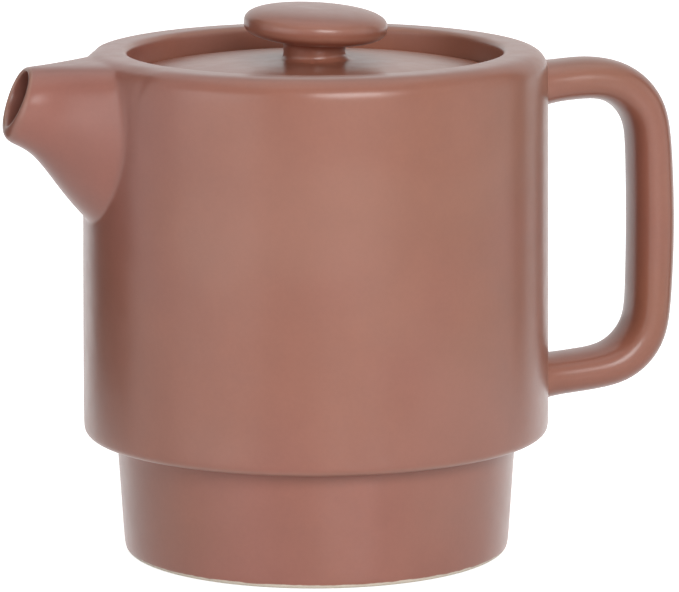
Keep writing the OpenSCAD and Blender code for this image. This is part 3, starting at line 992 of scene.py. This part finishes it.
bpy.context.scene.view_settings.view_transform = "Standard"
print("camera at", [round(x, 3) for x in camera.location], "lens", round(camera.data.lens, 1))

# %% [markdown]
# ## Floor and room
# The room is white and the floor is a pale, slightly glossy paper that catches the shadow. Their own
# light is added only for camera, mirror and see-through rays, so both look white without lighting the
# pot more than `AMBIENT`, the little light that a white room gives from all sides.

# %% White room
AMBIENT = 0.07
PAPER, PAPER_ROUGHNESS, PAPER_GLOW = (0.7, 0.7, 0.7, 1), 0.3, 0.9


def white_for_eyes(tree, x, y):
    """1 for camera, mirror and see-through rays, 0 for the light that falls on the pot."""
    rays = node(tree, "ShaderNodeLightPath", (x, y)).outputs
    seen = maths(tree, "MAXIMUM", rays["Is Camera Ray"], rays["Is Glossy Ray"], (x + 200, y))
    return maths(tree, "MAXIMUM", seen, rays["Is Transmission Ray"], (x + 400, y))


world = bpy.data.worlds.new("white_room")
bpy.context.scene.world = world
world.use_nodes = True
tree = world.node_tree
light = maths(tree, "MULTIPLY_ADD", white_for_eyes(tree, -800, 0), 1.0 - AMBIENT, (-200, 0))
light.node.inputs[2].default_value = AMBIENT
tree.links.new(light, tree.nodes["Background"].inputs["Strength"])
tree.nodes["Background"].inputs["Color"].default_value = (1, 1, 1, 1)

# %% Paper floor
start_fresh()
bpy.ops.mesh.primitive_plane_add(size=8, location=(0, 0, 0))
floor = bpy.context.object
floor.name = "floor"
pale = bpy.data.materials.new("floor_paper")
pale.use_nodes = True
tree = pale.node_tree
paper = tree.nodes["Principled BSDF"]
paper.inputs["Base Color"].default_value = PAPER
paper.inputs["Roughness"].default_value = PAPER_ROUGHNESS
glow = node(tree, "ShaderNodeEmission", (0, -300))
strength = maths(tree, "MULTIPLY", white_for_eyes(tree, -800, -300), PAPER_GLOW, (-200, -300))
tree.links.new(strength, glow.inputs["Strength"])
both = node(tree, "ShaderNodeAddShader", (300, -100))
tree.links.new(paper.outputs[0], both.inputs[0])
tree.links.new(glow.outputs[0], both.inputs[1])
tree.links.new(both.outputs[0], tree.nodes["Material Output"].inputs["Surface"])
floor.data.materials.append(pale)
print("floor and room are white to the eye, and the room lights the pot with", AMBIENT)

# %% [markdown]
# ## Lamps
# The highlights say where the lamps stood: a short streak on the front of the rim, the knob's side and
# the foot comes from a low window a little to the right, and a broad sheen over the spout's side from a
# wide, lower lamp on the left. A weak one on the right opens the shade behind the handle, and a large
# one overhead lights the lid and the top of the rim.

# %% Light the pot
LOOK_AT = Vector((0, 0, 0.06))


def away_from_pot(azimuth, elevation):
    """The direction from the pot at an azimuth right of the camera, both in degrees."""
    a, e = math.radians(azimuth) - TURNED, math.radians(elevation)
    return Vector((math.sin(a) * math.cos(e), -math.cos(a) * math.cos(e), math.sin(e)))


def lamp(name, azimuth, elevation, distance, width, height, power):
    """A soft lamp that looks at the pot. Lengths in metres, power in watts."""
    away = away_from_pot(azimuth, elevation)
    start_fresh()
    bpy.ops.object.light_add(type="AREA", location=away * distance + LOOK_AT,
                             rotation=away.to_track_quat("Z", "Y").to_euler())
    made = bpy.context.object
    made.name = name
    made.data.shape, made.data.size, made.data.size_y = "RECTANGLE", width, height
    made.data.energy = power


lamp("window_front", 20, 21, 1.3, 0.75, 0.45, 9.5)
lamp("wide_left", -46, 9, 1.4, 1.1, 0.55, 3.4)
lamp("fill_right", 77, 15, 1.4, 0.8, 0.8, 1.0)
lamp("ceiling", 0, 89.9, 1.3, 1.4, 1.4, 4.2)

# %% [markdown]
# A round, glossy pot in a white room loses its flanks, because they mirror nothing but white. A
# photographer stands a dark card on each side, just out of the picture, and the flank gets a dark line
# to end on. The cards are hidden from the camera.

# %% Two dark cards
black = bpy.data.materials.new("dark_cloth")
black.use_nodes = True
black.node_tree.nodes["Principled BSDF"].inputs["Base Color"].default_value = (0.02, 0.02, 0.02, 1)


def dark_card(name, azimuth, distance, width, height):
    """An upright card that faces the pot, standing on the floor."""
    away = away_from_pot(azimuth, 0)
    start_fresh()
    bpy.ops.mesh.primitive_plane_add(size=1, location=away * distance + Vector((0, 0, height / 2)),
                                     rotation=away.to_track_quat("Z", "Y").to_euler())
    card = bpy.context.object
    card.name = name
    card.scale = (width, height, 1)
    bpy.ops.object.transform_apply(location=True, rotation=True, scale=True)
    card.visible_camera = False
    card.data.materials.append(black)


dark_card("card_left", -110, 0.22, 0.15, 0.3)
dark_card("card_right", 112, 0.26, 0.06, 0.3)
